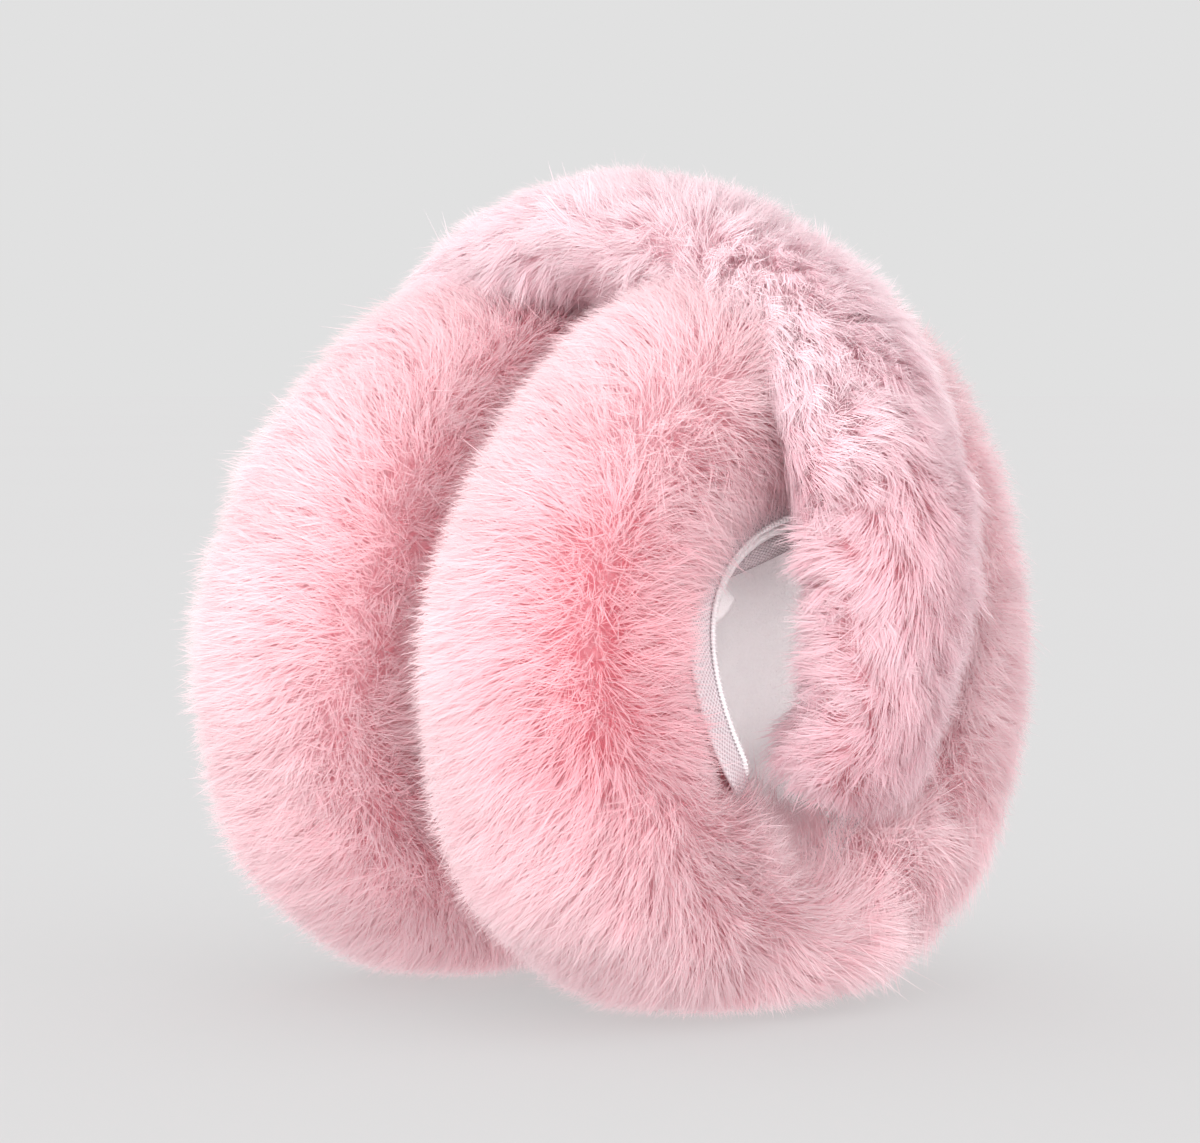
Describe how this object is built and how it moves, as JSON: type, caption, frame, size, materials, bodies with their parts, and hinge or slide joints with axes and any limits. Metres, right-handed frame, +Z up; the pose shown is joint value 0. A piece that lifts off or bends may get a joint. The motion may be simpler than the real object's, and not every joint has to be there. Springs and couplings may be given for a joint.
{
  "type": "fur earmuffs",
  "caption": "Folded fur earmuffs: padded fur ear cups standing one before the other, fleece-lined ear pockets, and a fur headband arched over them.",
  "frame": {"origin": "on the ground, below the middle of the object's box", "axes": "+X along the stack of ear cups, the way both ear faces look; +Z up; +Y to the right cup's far side"},
  "size_m": [0.138, 0.1318, 0.1464],
  "materials": {
    "cup_fur": "deep cut-pile faux fur, pale pink tips over darker pink roots",
    "band_fur": "faux fur with longer, looser pile, combed along the band",
    "fleece": "brushed pale grey fleece",
    "knit_backing": "fine warp-knit backing with open holes",
    "edge_stitching": "close whip stitches in soft white yarn",
    "woven_tape": "fine ribbed grey tape"
  },
  "bodies": {
    "root": {"ear_cup_left": "cup_fur", "ear_cup_right": "cup_fur", "headband": "band_fur", "ear_lining_left": "fleece", "ear_lining_right": "fleece", "knit_edge_left": "knit_backing", "knit_edge_right": "knit_backing", "stitched_edge_left": "edge_stitching", "stitched_edge_right": "edge_stitching", "lining_tape": "woven_tape", "lining_flap": "fleece"}
  },
  "joints": []
}
